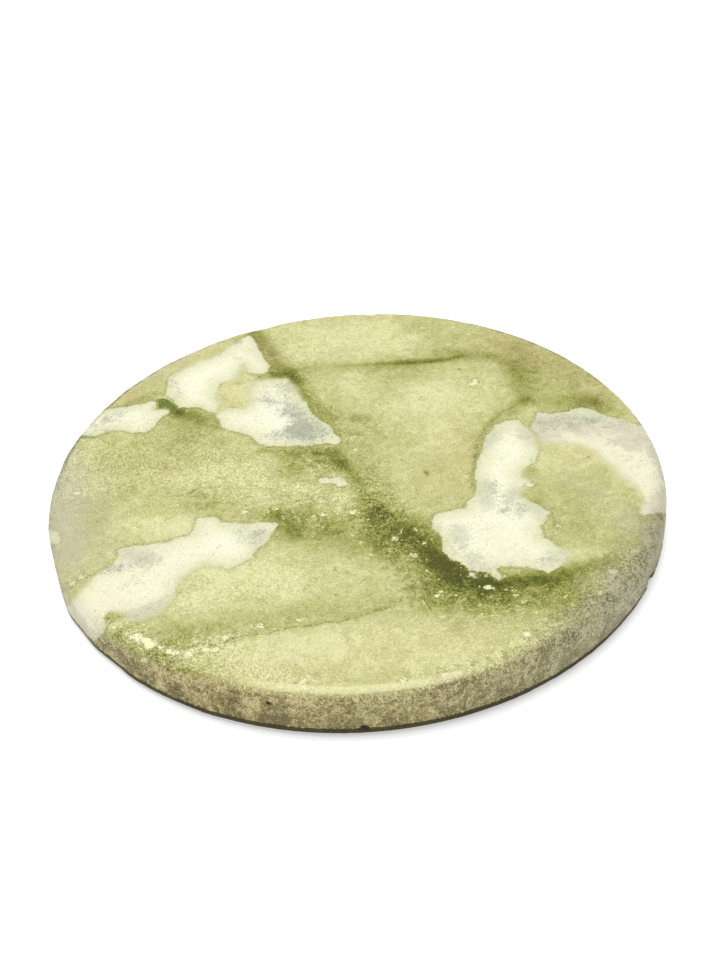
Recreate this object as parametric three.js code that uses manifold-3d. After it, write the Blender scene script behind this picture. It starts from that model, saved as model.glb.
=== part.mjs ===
// A round jade stone: one slab of nephrite, sawn flat on both faces, turned to a disc and tumbled.
// The top shoulder is rolled over, rounder on the right than at the front, the lower edge is only
// eased, and the rim carries the worn stretches and small chips that a handled stone picks up.
// Millimetres, +Z up, origin at the centre of the base, +Y away from someone who looks at the
// stone from the front.

import * as THREE from "three";
import { mergeVertices } from "three/addons/utils/BufferGeometryUtils.js";
import Module from "manifold-3d";

// Driving dimensions
const DIAMETER = 50;
const THICKNESS = 4;
const SHOULDER = 0.9; // radius of the rolled top shoulder where it is tightest
const BASE_EDGE = 0.6; // radius of the eased lower edge
const SEGMENTS_ROUND = 144;
const SHOULDER_STEPS = 9;
const BASE_EDGE_STEPS = 5;
const FACE_RINGS = 3; // rings of faces on each flat

const RADIUS = DIAMETER / 2;

// Hand turning leaves the outline a little out of round: slow swells, as lobes round the rim.
const SWELLS = [
  { lobes: 3, height: 0.08, turn: 1.34 },
  { lobes: 4, height: 0.04, turn: 0.37 },
  { lobes: 5, height: 0.025, turn: 0.32 },
];

// Stretches of the rim, by their direction from +X in degrees, where wear has taken more off the
// radius than elsewhere, or left more standing (below nought).
const WEAR = [
  { direction: 222, halfWidth: 6, depth: 0.1 },
  { direction: 206, halfWidth: 5, depth: -0.13 },
  { direction: 195, halfWidth: 7, depth: 0.12 },
  { direction: 166, halfWidth: 8, depth: -0.11 },
  { direction: 108, halfWidth: 4, depth: 0.13 },
];

// Stretches where the tumbler has rounded the top shoulder more, by how much the radius grows.
const ROUNDINGS = [
  { direction: -20, halfWidth: 65, extra: 0.6 },
  { direction: 185, halfWidth: 40, extra: 0.25 },
  { direction: 95, halfWidth: 70, extra: 0.2 },
];

// Chips out of the rim: direction in degrees, height of the middle, and the cutter's half sizes
// along the rim, in from the rim and up. Each cutter's middle stands off the rim by standOff.
const CHIPS = [
  { direction: 268.5, height: 0.85, along: 0.26, inward: 0.3, up: 0.26, standOff: 0.06 },
  { direction: 253.5, height: 2.75, along: 0.24, inward: 0.28, up: 0.24, standOff: 0.04 },
  { direction: 193.5, height: 1.5, along: 0.55, inward: 0.5, up: 0.7, standOff: 0.22 },
  { direction: 331, height: 0.45, along: 0.8, inward: 0.4, up: 0.5, standOff: 0.12 },
  { direction: 84, height: 3.1, along: 0.9, inward: 0.6, up: 0.55, standOff: 0.2 },
  { direction: 152, height: 0.5, along: 0.6, inward: 0.45, up: 0.45, standOff: 0.1 },
];

// How much of a stretch of the rim counts in the direction of an angle: 1 in its middle, 0 outside.
function shareOf(stretch, angle) {
  const offset = angle - THREE.MathUtils.degToRad(stretch.direction);
  const wrapped = Math.atan2(Math.sin(offset), Math.cos(offset));
  const share = Math.min(Math.abs(wrapped) / THREE.MathUtils.degToRad(stretch.halfWidth), 1);
  return Math.cos((share * Math.PI) / 2) ** 2;
}

// Distance from the middle to the rim in the direction of an angle, in radians.
function rimRadius(angle) {
  let radius = RADIUS;
  for (const swell of SWELLS) {
    radius += swell.height * Math.cos(swell.lobes * angle + swell.turn);
  }
  for (const worn of WEAR) {
    radius -= worn.depth * shareOf(worn, angle);
  }
  return radius;
}

// Radius of the rolled shoulder in the direction of an angle.
function shoulderRadius(angle) {
  let radius = SHOULDER;
  for (const rounding of ROUNDINGS) {
    radius += rounding.extra * shareOf(rounding, angle);
  }
  return radius;
}

// Half section from the middle of the base, out round the rim and back to the middle of the top.
function halfSection(shoulder) {
  const points = [];
  const baseFlat = RADIUS - BASE_EDGE;
  const topFlat = RADIUS - shoulder;
  for (let ring = 0; ring < FACE_RINGS; ring++) {
    points.push(new THREE.Vector2((baseFlat * ring) / FACE_RINGS, 0));
  }
  for (let step = 0; step <= BASE_EDGE_STEPS; step++) {
    const turn = (step / BASE_EDGE_STEPS) * (Math.PI / 2);
    points.push(
      new THREE.Vector2(
        baseFlat + BASE_EDGE * Math.sin(turn),
        BASE_EDGE * (1 - Math.cos(turn)),
      ),
    );
  }
  for (let step = 0; step <= SHOULDER_STEPS; step++) {
    const turn = (step / SHOULDER_STEPS) * (Math.PI / 2);
    points.push(
      new THREE.Vector2(
        topFlat + shoulder * Math.cos(turn),
        THICKNESS - shoulder * (1 - Math.sin(turn)),
      ),
    );
  }
  for (let ring = FACE_RINGS - 1; ring >= 0; ring--) {
    points.push(new THREE.Vector2((topFlat * ring) / FACE_RINGS, THICKNESS));
  }
  return points;
}

// The turned blank, then at each angle its own section: the outline's swells and wear and the
// shoulder's rounder stretches are worked into it. The lathe lists its points section by section.
function blankGeometry() {
  const blankSection = halfSection(SHOULDER);
  const geometry = new THREE.LatheGeometry(blankSection, SEGMENTS_ROUND);
  geometry.rotateX(Math.PI / 2); // the lathe turns about Y
  const position = geometry.getAttribute("position");
  for (let turn = 0; turn <= SEGMENTS_ROUND; turn++) {
    const first = turn * blankSection.length;
    const rim = first + FACE_RINGS + BASE_EDGE_STEPS;
    const angle = Math.atan2(position.getY(rim), position.getX(rim));
    const scale = rimRadius(angle) / RADIUS;
    halfSection(shoulderRadius(angle)).forEach((point, step) => {
      const reach = point.x * scale;
      position.setXYZ(first + step, reach * Math.cos(angle), reach * Math.sin(angle), point.y);
    });
  }
  return geometry;
}

// A rough many-sided cutter for one chip, at its place on the rim.
function chipGeometry(chip) {
  const angle = THREE.MathUtils.degToRad(chip.direction);
  const reach = rimRadius(angle) + chip.standOff;
  const geometry = new THREE.IcosahedronGeometry(1, 0);
  geometry.scale(chip.inward, chip.along, chip.up);
  geometry.rotateZ(angle);
  geometry.translate(reach * Math.cos(angle), reach * Math.sin(angle), chip.height);
  return geometry;
}

function toManifold(wasm, geometry) {
  const bare = new THREE.BufferGeometry();
  bare.setAttribute("position", geometry.getAttribute("position"));
  bare.setIndex(geometry.getIndex());
  const merged = mergeVertices(bare, 1e-4);
  const triangles = merged.getIndex().array;
  const vertices = merged.getAttribute("position").array;
  const kept = [];
  for (let i = 0; i < triangles.length; i += 3) {
    const [a, b, c] = triangles.slice(i, i + 3);
    if (a !== b && b !== c && c !== a) {
      kept.push(a, b, c);
    }
  }
  return new wasm.Manifold(
    new wasm.Mesh({
      numProp: 3,
      vertProperties: new Float32Array(vertices),
      triVerts: new Uint32Array(kept),
    }),
  );
}

function toGeometry(solid) {
  const mesh = solid.getMesh();
  const geometry = new THREE.BufferGeometry();
  geometry.setAttribute("position", new THREE.BufferAttribute(new Float32Array(mesh.vertProperties), 3));
  geometry.setIndex(new THREE.BufferAttribute(new Uint32Array(mesh.triVerts), 1));
  return geometry;
}

// The finished stone, with the origin at the middle of its base.
function stoneGeometry(wasm) {
  let stone = toManifold(wasm, blankGeometry());
  for (const chip of CHIPS) {
    stone = stone.subtract(toManifold(wasm, chipGeometry(chip)));
  }
  const geometry = toGeometry(stone);
  geometry.computeBoundingBox();
  const middle = geometry.boundingBox.getCenter(new THREE.Vector3());
  geometry.translate(-middle.x, -middle.y, 0);
  geometry.computeVertexNormals();
  return geometry;
}

const wasm = await Module();
wasm.setup();

const jade = new THREE.MeshStandardMaterial({
  color: 0xc9c68a,
  roughness: 0.35,
  metalness: 0,
});

const stone = new THREE.Mesh(stoneGeometry(wasm), jade);
stone.name = "jade_stone";

const part = new THREE.Group();
part.add(stone);

export default part;
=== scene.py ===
import math

import bpy
import numpy as np
from mathutils import Matrix, Vector


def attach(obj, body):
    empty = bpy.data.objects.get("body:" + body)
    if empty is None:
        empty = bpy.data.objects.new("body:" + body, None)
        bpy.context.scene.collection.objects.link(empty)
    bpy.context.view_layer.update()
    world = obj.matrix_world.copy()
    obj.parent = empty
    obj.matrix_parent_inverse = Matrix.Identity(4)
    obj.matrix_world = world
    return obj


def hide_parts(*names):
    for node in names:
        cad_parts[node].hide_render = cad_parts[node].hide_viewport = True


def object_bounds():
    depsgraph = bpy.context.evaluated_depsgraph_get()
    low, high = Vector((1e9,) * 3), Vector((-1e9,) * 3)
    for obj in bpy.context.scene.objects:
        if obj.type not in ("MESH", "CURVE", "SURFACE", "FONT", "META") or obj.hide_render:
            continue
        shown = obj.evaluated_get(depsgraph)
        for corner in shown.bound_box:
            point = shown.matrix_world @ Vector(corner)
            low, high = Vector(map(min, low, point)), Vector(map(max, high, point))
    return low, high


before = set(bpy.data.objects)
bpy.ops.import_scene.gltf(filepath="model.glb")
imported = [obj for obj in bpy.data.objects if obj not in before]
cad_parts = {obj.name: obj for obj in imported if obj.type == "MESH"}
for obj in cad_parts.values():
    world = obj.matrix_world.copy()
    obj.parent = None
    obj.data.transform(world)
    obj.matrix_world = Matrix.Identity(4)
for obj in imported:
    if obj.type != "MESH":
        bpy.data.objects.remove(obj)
cad_low, cad_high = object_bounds()

# The camera looks down on the stone from the front at the angle of the photograph, a hand's length
# away, so that the near rim looks larger than the far one. It is rolled a little, which lets the
# stone's left side sink and its right side rise in the picture.
camera_elevation = math.radians(39.18)
camera_distance = 0.11323
camera_roll = math.radians(-3.91)
camera_lens = 50.33
looked_at = Vector((0.0006, 0.00299, 0))
bpy.ops.object.select_all(action="DESELECT")
bpy.ops.object.camera_add(
    location=(
        0,
        -camera_distance * math.cos(camera_elevation),
        camera_distance * math.sin(camera_elevation),
    )
)
camera = bpy.context.object
camera.name = "camera"
camera.data.sensor_width = 36
camera.data.lens = camera_lens
camera.data.clip_start = 0.01
camera.data.clip_end = 10
camera.rotation_mode = "QUATERNION"
aim = (looked_at - camera.location).to_track_quat("-Z", "Y")
camera.rotation_quaternion = aim @ Matrix.Rotation(camera_roll, 3, "Z").to_quaternion()
bpy.context.scene.camera = camera

# The floor is a plain white table top under the stone, lit so brightly that it shows no texture.
# It is a stage and no part of the stone.
floor_size = 3
floor_colour = (0.88, 0.88, 0.875, 1)
floor_glow = 0.4
bpy.ops.object.select_all(action="DESELECT")
bpy.ops.mesh.primitive_plane_add(size=floor_size, location=(0, 0, 0))
floor = bpy.context.object
floor.name = "floor"
floor_finish = bpy.data.materials.new("white_table")
floor_finish.use_nodes = True
floor_shader = floor_finish.node_tree.nodes["Principled BSDF"]
floor_shader.inputs["Base Color"].default_value = floor_colour
floor_shader.inputs["Roughness"].default_value = 0.9
floor_shader.inputs["Specular IOR Level"].default_value = 0.1
floor_shader.inputs["Emission Color"].default_value = (1, 1, 1, 1)
floor_shader.inputs["Emission Strength"].default_value = floor_glow
floor.data.materials.append(floor_finish)

# The light is a plain soft studio light: one broad lamp overhead and a little behind the stone,
# which draws the pale line along the near shoulder together with a highlight painted there, and a white
# room all round it.
room_colour = (0.97, 0.985, 1, 1)
room_strength = 0.56
lamp_place = (-0.06, 0.1, 0.5)
lamp_across = 0.42
lamp_power = 2.4
scene = bpy.context.scene
scene.view_settings.view_transform = "Standard"
room = bpy.data.worlds.new("white_room")
room.use_nodes = True
room.node_tree.nodes["Background"].inputs["Color"].default_value = room_colour
room.node_tree.nodes["Background"].inputs["Strength"].default_value = room_strength
scene.world = room
bpy.ops.object.select_all(action="DESELECT")
bpy.ops.object.light_add(type="AREA", location=lamp_place)
lamp = bpy.context.object
lamp.name = "overhead_lamp"
lamp.data.shape = "DISK"
lamp.data.size = lamp_across
lamp.data.energy = lamp_power
lamp.rotation_mode = "QUATERNION"
lamp.rotation_quaternion = (-lamp.location).to_track_quat("-Z", "Y")

# The stone is one slab of jade, sawn flat on both faces, turned to a disc and tumbled, so the top
# shoulder is rolled over and the lower edge eased. It is modelled as a turned blank whose edges
# are bevelled; the rim's swells, its wear and its chips are then worked in. Sizes are in metres.
mm = 0.001
thickness = cad_high.z
radius = 25 * mm
shoulder = 0.9 * mm
lower_edge = 0.6 * mm
faces_round = 720
shoulder_rings = 12
side_rings = 14
lower_edge_rings = 6
same_height = 1e-6


def select_edges(mesh_object, wanted):
    """Selects the edges whose two ends both pass the test, in edge mode, and nothing else."""
    bpy.ops.object.mode_set(mode="EDIT")
    bpy.ops.mesh.select_mode(type="EDGE")
    bpy.ops.mesh.select_all(action="DESELECT")
    bpy.ops.object.mode_set(mode="OBJECT")
    points = mesh_object.data.vertices
    for edge in mesh_object.data.edges:
        ends = [points[i].co for i in edge.vertices]
        edge.select = wanted(ends[0], ends[1])
    bpy.ops.object.mode_set(mode="EDIT")


def level_at(height):
    """A test for edges that lie level at that height."""
    return lambda a, b: abs(a.z - height) < same_height and abs(b.z - height) < same_height


bpy.ops.object.select_all(action="DESELECT")
bpy.ops.mesh.primitive_cylinder_add(
    vertices=faces_round,
    radius=radius,
    depth=thickness,
    end_fill_type="NGON",
    location=(0, 0, thickness / 2),
)
stone = bpy.context.object
stone.name = "polished_jade"
bpy.ops.object.transform_apply(location=True, rotation=True, scale=True)

select_edges(stone, level_at(thickness))
bpy.ops.mesh.bevel(offset=shoulder, segments=shoulder_rings, profile=0.5, affect="EDGES")
select_edges(stone, level_at(0))
bpy.ops.mesh.bevel(offset=lower_edge, segments=lower_edge_rings, profile=0.5, affect="EDGES")
select_edges(stone, lambda a, b: abs(a.z - b.z) > (thickness - shoulder - lower_edge) * 0.9)
bpy.ops.mesh.subdivide(number_cuts=side_rings - 1)

# the two big round faces become a grid, fine enough for the relief
for height in (thickness, 0):
    bpy.ops.mesh.select_mode(type="FACE")
    bpy.ops.mesh.select_all(action="DESELECT")
    bpy.ops.object.mode_set(mode="OBJECT")
    for face in stone.data.polygons:
        face.select = len(face.vertices) > 4 and abs(face.center.z - height) < same_height
    bpy.ops.object.mode_set(mode="EDIT")
    bpy.ops.mesh.delete(type="ONLY_FACE")
    select_edges(stone, level_at(height))
    bpy.ops.mesh.fill_grid(span=faces_round // 4)
bpy.ops.mesh.select_all(action="SELECT")
bpy.ops.mesh.normals_make_consistent(inside=False)
bpy.ops.object.mode_set(mode="OBJECT")

# Hand turning leaves the outline a little out of round: lobes, height, turn. Wear takes more or
# less off some stretches of the rim, and rounds the shoulder more on the right: direction from +X
# and half width in degrees, then the depth or the growth of the shoulder's radius.
swells = [(3, 0.08 * mm, 1.34), (4, 0.04 * mm, 0.37), (5, 0.025 * mm, 0.32)]
wear = [
    (222, 6, 0.1 * mm),
    (206, 5, -0.13 * mm),
    (195, 7, 0.12 * mm),
    (166, 8, -0.11 * mm),
    (108, 4, 0.13 * mm),
]
roundings = [(-20, 65, 0.6 * mm), (185, 40, 0.25 * mm), (95, 70, 0.2 * mm)]


def read_points(mesh_object):
    """The places of all points of a mesh, one row each."""
    flat = np.zeros(len(mesh_object.data.vertices) * 3)
    mesh_object.data.vertices.foreach_get("co", flat)
    return flat.reshape(-1, 3)


def write_points(mesh_object, points):
    """Moves all points of a mesh to new places."""
    mesh_object.data.vertices.foreach_set("co", points.ravel())
    mesh_object.data.update()


def share_of(direction, half_width, angle):
    """How much of a stretch of the rim counts in each direction: 1 in its middle, 0 outside."""
    offset = angle - math.radians(direction)
    share = np.abs(np.arctan2(np.sin(offset), np.cos(offset))) / math.radians(half_width)
    return np.cos(np.clip(share, 0, 1) * math.pi / 2) ** 2


points = read_points(stone)
reach = np.hypot(points[:, 0], points[:, 1])
angle = np.arctan2(points[:, 1], points[:, 0])
height = points[:, 2]
rounder = shoulder + sum(extra * share_of(at, half, angle) for at, half, extra in roundings)
side_top = thickness - shoulder
slack = 1e-7
on_shoulder = height > side_top - slack
on_face = reach < radius - shoulder + slack
grown = rounder / shoulder
rolled_height = np.where(
    on_shoulder,
    thickness - (thickness - height) * grown,
    lower_edge + (height - lower_edge) * (thickness - rounder - lower_edge) / (side_top - lower_edge),
)
rolled_height = np.where(height > lower_edge, rolled_height, height)
rolled_reach = np.where(
    on_face,
    reach * (radius - rounder) / (radius - shoulder),
    radius - (radius - reach) * grown,
)
rolled_reach = np.where(on_shoulder, rolled_reach, reach)
rim = np.full(len(points), radius)
for lobes, lobe_height, turn in swells:
    rim += lobe_height * np.cos(lobes * angle + turn)
for at, half, depth in wear:
    rim -= depth * share_of(at, half, angle)
out = rolled_reach * rim / radius
points = np.stack([out * np.cos(angle), out * np.sin(angle), rolled_height], axis=1)
points[:, :2] -= (points[:, :2].min(0) + points[:, :2].max(0)) / 2
write_points(stone, points)
bpy.ops.object.shade_smooth()

# Where the skin is rough: weights for the rim and for the top face, and the relief that a
# texture of clouds lays on each, as how strong it is and how wide its lumps are.
rough_from = 22.4 * mm
rough_fade = 2 * mm
plain_foot = 0.2 * mm
points = read_points(stone)
from_middle = np.hypot(points[:, 0], points[:, 1])
near_edge = np.clip((from_middle - rough_from) / rough_fade, 0, 1)
rim_weight = near_edge * (points[:, 2] > plain_foot)
face_weight = (1 - near_edge) * (points[:, 2] > thickness / 2)
for name, weights, strength, lump in [
    ("rim_grain", rim_weight, 0.045 * mm, 0.55 * mm),
    ("rim_swell", rim_weight, 0.09 * mm, 2.2 * mm),
    ("face_swell", face_weight, 0.06 * mm, 4.5 * mm),
]:
    group = stone.vertex_groups.new(name=name)
    for tenth in range(1, 11):
        alike = np.flatnonzero(np.round(weights * 10) == tenth)
        group.add(alike.tolist(), tenth / 10, "REPLACE")
    clouds = bpy.data.textures.new(name, "CLOUDS")
    clouds.noise_scale = lump
    clouds.noise_depth = 3
    bpy.ops.object.modifier_add(type="DISPLACE")
    relief = stone.modifiers[-1]
    relief.texture = clouds
    relief.texture_coords = "LOCAL"
    relief.vertex_group = name
    relief.strength = strength
    relief.mid_level = 0.5
    bpy.ops.object.modifier_apply(modifier=relief.name)
stone.vertex_groups.clear()

# Chips and pits in the rim and scuffs in the shoulder, pushed in along the skin's own normals:
# middle, half width and depth, in millimetres.
chips = [
    ((-0.65, -24.95, 0.85), 0.3, 0.3),
    ((-24.31, -5.84, 1.4), 0.8, 0.22),
    ((21.9, -12.1, 0.6), 0.8, 0.2),
    ((2.6, 24.7, 3.1), 1.1, 0.3),
    ((-22.1, 11.7, 0.6), 0.7, 0.2),
    ((-7.1, -23.97, 2.8), 0.3, 0.25),
    ((4.7, -24.1, 3.85), 0.5, 0.14),
    ((5.9, -23.9, 3.8), 0.4, 0.16),
    ((5.3, -24.3, 3.5), 0.3, 0.14),
    ((-20.8, -12.3, 3.95), 0.7, 0.14),
    ((-21.9, -11.3, 3.3), 0.5, 0.14),
    ((-13.6, -20.4, 3.9), 0.6, 0.12),
    ((-17.6, -17.7, 3.2), 0.6, 0.12),
]
normals = np.zeros(len(stone.data.vertices) * 3)
stone.data.vertices.foreach_get("normal", normals)
normals = normals.reshape(-1, 3)
points = read_points(stone)
for middle, half_width, depth in chips:
    away = (points - np.array(middle) * mm) / (half_width * mm)
    nearness = np.clip(1 - (away**2).sum(1), 0, 1)
    points -= normals * (np.sqrt(nearness) * depth * mm)[:, None]
write_points(stone, points)

# What the eye reads as clouds, patches and seams is drawn on a plan of the top face, in
# millimetres, and runs down through the slab on slanting sheets: they fan out from a point that
# lies high in front of the stone, and wander on their way to the base.
fan_point = np.array([0.0, -89.1, 72.6])
wander_reach = 2.4
# the plan is drawn a hundredth smaller than the stone and a little off its middle
plan_scale = np.array([0.991, 0.986])
plan_shift = np.array([0.057, -0.285])
points_mm = read_points(stone) / mm
depth_mm = thickness / mm - points_mm[:, 2]
spread = (fan_point[2] - thickness / mm) / (fan_point[2] - points_mm[:, 2])
drawn = fan_point[:2] + (points_mm[:, :2] - fan_point[:2]) * spread[:, None]
drawn = drawn * plan_scale + plan_shift
wander = (depth_mm * mm / thickness) ** 4
drawn[:, 0] += wander_reach * wander * np.sin(points_mm[:, 1] / 5 + 1)
drawn[:, 1] += wander_reach * wander * np.sin(points_mm[:, 0] / 6 + 2)


def to_line(outline, closed):
    """Distance from every point to a drawn line, in millimetres, where along it, and the side."""
    corners = np.array(outline, float)
    starts = corners if closed else corners[:-1]
    ends = np.roll(corners, -1, axis=0) if closed else corners[1:]
    nearest = np.full(len(drawn), 1e9)
    along = np.zeros(len(drawn))
    side = np.zeros(len(drawn))
    for number, (start, end) in enumerate(zip(starts, ends)):
        run = end - start
        reach = drawn - start
        share = np.clip(reach @ run / (run @ run), 0, 1)
        gap = reach - share[:, None] * run
        distance = np.hypot(gap[:, 0], gap[:, 1])
        closer = distance < nearest
        nearest = np.where(closer, distance, nearest)
        along = np.where(closer, number + share, along)
        side = np.where(closer, np.sign(run[0] * reach[:, 1] - run[1] * reach[:, 0]), side)
    return nearest, along, side


def inside_depth(outline):
    """How deep every point lies inside an outline, in millimetres, negative outside it."""
    corners = np.array(outline, float)
    crossings = np.zeros(len(drawn), int)
    for start, end in zip(corners, np.roll(corners, -1, axis=0)):
        spans = (start[1] > drawn[:, 1]) != (end[1] > drawn[:, 1])
        rise = end[1] - start[1] or 1e-9
        at = start[0] + (drawn[:, 1] - start[1]) / rise * (end[0] - start[0])
        crossings += spans & (drawn[:, 0] < at)
    distance = to_line(outline, closed=True)[0]
    return np.where(crossings % 2 == 1, distance, -distance)


def stroke(line, widths, strengths):
    """A soft brush stroke along a line: full in its middle and gone at its half width."""
    distance, along, _ = to_line(line, closed=False)
    steps = np.arange(len(line))
    width = np.interp(along, steps, widths)
    strength = np.interp(along, steps, strengths)
    nearness = np.clip(1 - distance / width, 0, 1)
    return strength * nearness * nearness * (3 - 2 * nearness)


def keep(name, values):
    """Stores one number for every point of the stone, for its material to read."""
    stone.data.attributes.new(name, "FLOAT", "POINT").data.foreach_set("value", values)


def keep_inside(name, outlines):
    """Keeps how deep every point lies inside any of the outlines, as far as 6 mm."""
    depths = np.max([inside_depth(outline) for outline in outlines], axis=0)
    keep(name, depths.clip(-6, 6))


# the white patches, from the large ones down to crumbs of them
keep_inside("white", [
    [
        (-8.9, 21.2), (-8.4, 20.2), (-7.9, 18.5), (-7.4, 17.0), (-7.0, 15.8), (-7.1, 14.9),
        (-7.7, 14.6), (-8.3, 14.7), (-8.9, 15.2), (-9.3, 16.4), (-9.9, 14.0), (-11.4, 13.7),
        (-11.7, 11.8), (-11.3, 10.0), (-11.6, 9.2), (-12.3, 9.4), (-13.0, 10.1), (-14.8, 10.2),
        (-15.3, 11.3), (-16.2, 12.6), (-16.0, 15.2), (-14.8, 16.3), (-13.2, 17.5), (-12.0, 18.0),
        (-11.2, 18.7), (-10.9, 19.4), (-10.2, 20.4),
    ],
    [
        (-8.2, 13.5), (-6.9, 13.6), (-5.4, 13.6), (-4.8, 12.2), (-4.2, 10.5), (-3.6, 9.0),
        (-2.9, 7.3), (-2.1, 6.4), (-1.6, 5.2), (-1.0, 4.0), (-1.2, 3.2), (-2.1, 3.6),
        (-3.5, 3.4), (-5.1, 3.5), (-6.9, 3.7), (-7.8, 4.1), (-8.2, 5.0), (-9.3, 5.8),
        (-10.4, 6.3), (-11.2, 7.3), (-11.6, 8.7), (-10.4, 9.7), (-9.1, 9.5), (-8.7, 10.5),
        (-8.7, 12.2),
    ],
    [
        (-21.0, 10.7), (-20.2, 10.9), (-18.4, 11.1), (-17.2, 11.6), (-16.8, 11.3), (-16.9, 10.2),
        (-15.6, 9.9), (-15.8, 9.3), (-16.4, 8.7), (-16.8, 7.6), (-17.5, 6.9), (-18.5, 7.0),
        (-19.7, 7.5), (-20.9, 7.5), (-21.8, 6.9), (-23.5, 7.2), (-25.5, 7.6), (-25.2, 10.0),
    ],
    [
        (11.2, 3.0), (12.0, 4.2), (12.9, 4.8), (14.1, 4.9), (14.6, 3.6), (15.0, 2.8), (15.1, 1.2),
        (15.1, 0.4), (14.4, -1.2), (13.6, -1.7), (13.4, -2.7), (13.8, -3.3), (14.2, -4.0),
        (13.3, -4.4), (12.9, -5.0), (13.5, -6.0), (14.8, -7.4), (14.2, -8.4), (13.8, -9.3),
        (13.8, -10.3), (14.9, -11.6), (15.7, -12.4), (14.9, -13.4), (13.6, -14.3), (13.1, -13.8),
        (11.7, -13.3), (10.2, -13.2), (9.8, -13.4), (9.3, -13.6), (8.3, -13.5), (7.6, -12.7),
        (6.6, -12.0), (6.2, -11.1), (6.3, -9.8), (6.0, -8.8), (5.7, -8.2), (5.6, -7.3),
        (6.4, -6.6), (8.3, -6.2), (8.9, -5.2), (9.5, -4.1), (9.6, -2.5), (9.8, -0.7), (10.5, 0.8),
    ],
    [
        (14.9, 3.7), (15.5, 4.8), (15.8, 5.7), (17.0, 5.4), (18.2, 5.5), (19.6, 5.9), (20.6, 5.5),
        (21.3, 4.6), (22.6, 3.9), (23.8, 2.8), (26.0, 2.4), (26.0, -8.8), (23.3, -8.5),
        (21.5, -8.4), (21.8, -7.4), (22.3, -6.5), (22.1, -5.5), (21.6, -4.5), (20.8, -3.5),
        (20.7, -2.3), (19.8, -1.6), (19.6, -0.3), (18.6, 0.8), (17.2, 1.2), (15.7, 1.2),
        (15.4, 2.4),
    ],
    [
        (-12.5, -5.0), (-11.0, -5.0), (-10.8, -5.8), (-9.1, -6.1), (-6.2, -6.3), (-6.4, -7.1),
        (-6.8, -8.3), (-7.8, -9.2), (-8.1, -10.2), (-9.3, -10.8), (-9.9, -11.4), (-10.5, -10.9),
        (-11.7, -10.7), (-12.7, -11.3), (-13.3, -11.9), (-13.6, -12.8), (-13.8, -13.7),
        (-14.4, -14.8), (-15.0, -15.6), (-15.9, -16.1), (-17.0, -16.0), (-17.3, -15.2),
        (-18.2, -14.9), (-18.8, -15.6), (-18.5, -16.5), (-18.7, -17.3), (-19.7, -18.5),
        (-22.5, -16.8), (-22.3, -14.6), (-21.0, -13.0), (-20.3, -11.6), (-19.8, -10.7),
        (-18.6, -9.8), (-18.3, -9.0), (-18.5, -8.2), (-17.7, -7.9), (-16.2, -7.8), (-14.7, -7.7),
        (-13.7, -7.2), (-12.8, -6.9), (-12.5, -6.0),
    ],
    [(-2.9, -1.2), (-1.3, -1.1), (-0.7, -1.5), (-0.5, -2.2), (-1.3, -2.4), (-1.9, -1.9), (-2.8, -1.8)],
    [(-24.6, -5.2), (-23.8, -5.2), (-22.9, -6.4), (-23.2, -6.9), (-24.3, -6.9)],
    [(9.4, -13.3), (9.8, -13.4), (10.3, -14.4), (9.9, -14.5), (9.5, -14.1)],
    [(7.9, -13.5), (8.3, -13.9), (8.8, -14.0), (8.3, -14.3), (7.9, -14.0)],
])

# scraps of the same white, left where the stone was crushed: middle and half width
scraps = np.full(len(drawn), -6.0)
for x, y, half in [
    (-15.5, -18.2, 0.4), (-15.0, -18.7, 0.38), (-13.9, -19.3, 0.24), (-13.3, -19.7, 0.2),
    (-12.5, -19.9, 0.28), (-9.8, -18.4, 0.24), (-7.6, -17.5, 0.24), (-16.3, -17.7, 0.2),
    (-15.5, -20.2, 0.22), (11.0, 10.7, 0.24), (11.1, 11.1, 0.18), (6.2, 9.0, 0.2), (-0.3, -5.6, 0.2),
    (-2.5, -5.8, 0.18), (-8.8, -4.6, 0.18), (2.6, -9.2, 0.16), (5.3, -15.8, 0.2),
    (11.2, -20.4, 0.24), (11.9, -21.2, 0.18), (13.8, -20.1, 0.2), (14.5, -19.9, 0.2),
    (15.2, -9.1, 0.16), (18.2, -14.6, 0.22), (-22.4, -0.7, 0.2), (-14.4, -19.0, 0.3),
    (-11.4, -19.5, 0.2), (-10.6, -19.6, 0.16), (-4.6, -17.2, 0.2), (13.9, -3.9, 0.22),
    (3.9, -11.4, 0.2), (-1.7, -3.9, 0.22), (-2.8, -4.2, 0.2), (0.2, 2.4, 0.2), (-2.9, 0.6, 0.18),
    (5.0, -23.7, 0.26), (6.0, -23.6, 0.28), (6.8, -23.3, 0.2), (2.2, -23.9, 0.2),
    (-4.6, -23.3, 0.2), (-9.9, -23.2, 0.2), (9.0, -15.4, 0.2), (16.2, -17.6, 0.22),
    (17.0, -16.8, 0.2), (20.4, -12.6, 0.2), (-20.9, -10.9, 0.24), (-21.5, -11.6, 0.2),
]:
    scraps = np.maximum(scraps, half - np.hypot((drawn[:, 0] - x) * 0.7, drawn[:, 1] - y))
keep("scraps", scraps)

# small crisp spots of the deepest green
keep_inside("spots", [
    [
        (-16.9, 11.6), (-16.2, 12.0), (-15.7, 11.5), (-15.2, 10.7), (-14.9, 9.9), (-15.3, 10.0),
        (-16.0, 10.4), (-16.7, 10.3),
    ],
    [(-17.5, 9.8), (-16.9, 9.8), (-16.9, 9.5), (-17.3, 9.5)],
    [(-7.1, 14.8), (-6.6, 14.9), (-6.2, 14.4), (-5.2, 13.9), (-6.7, 14.1)],
])


def painted(strokes):
    """What a group of brush strokes adds up to at every point."""
    return sum(stroke(line, widths, strengths) for line, widths, strengths in strokes)


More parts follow.
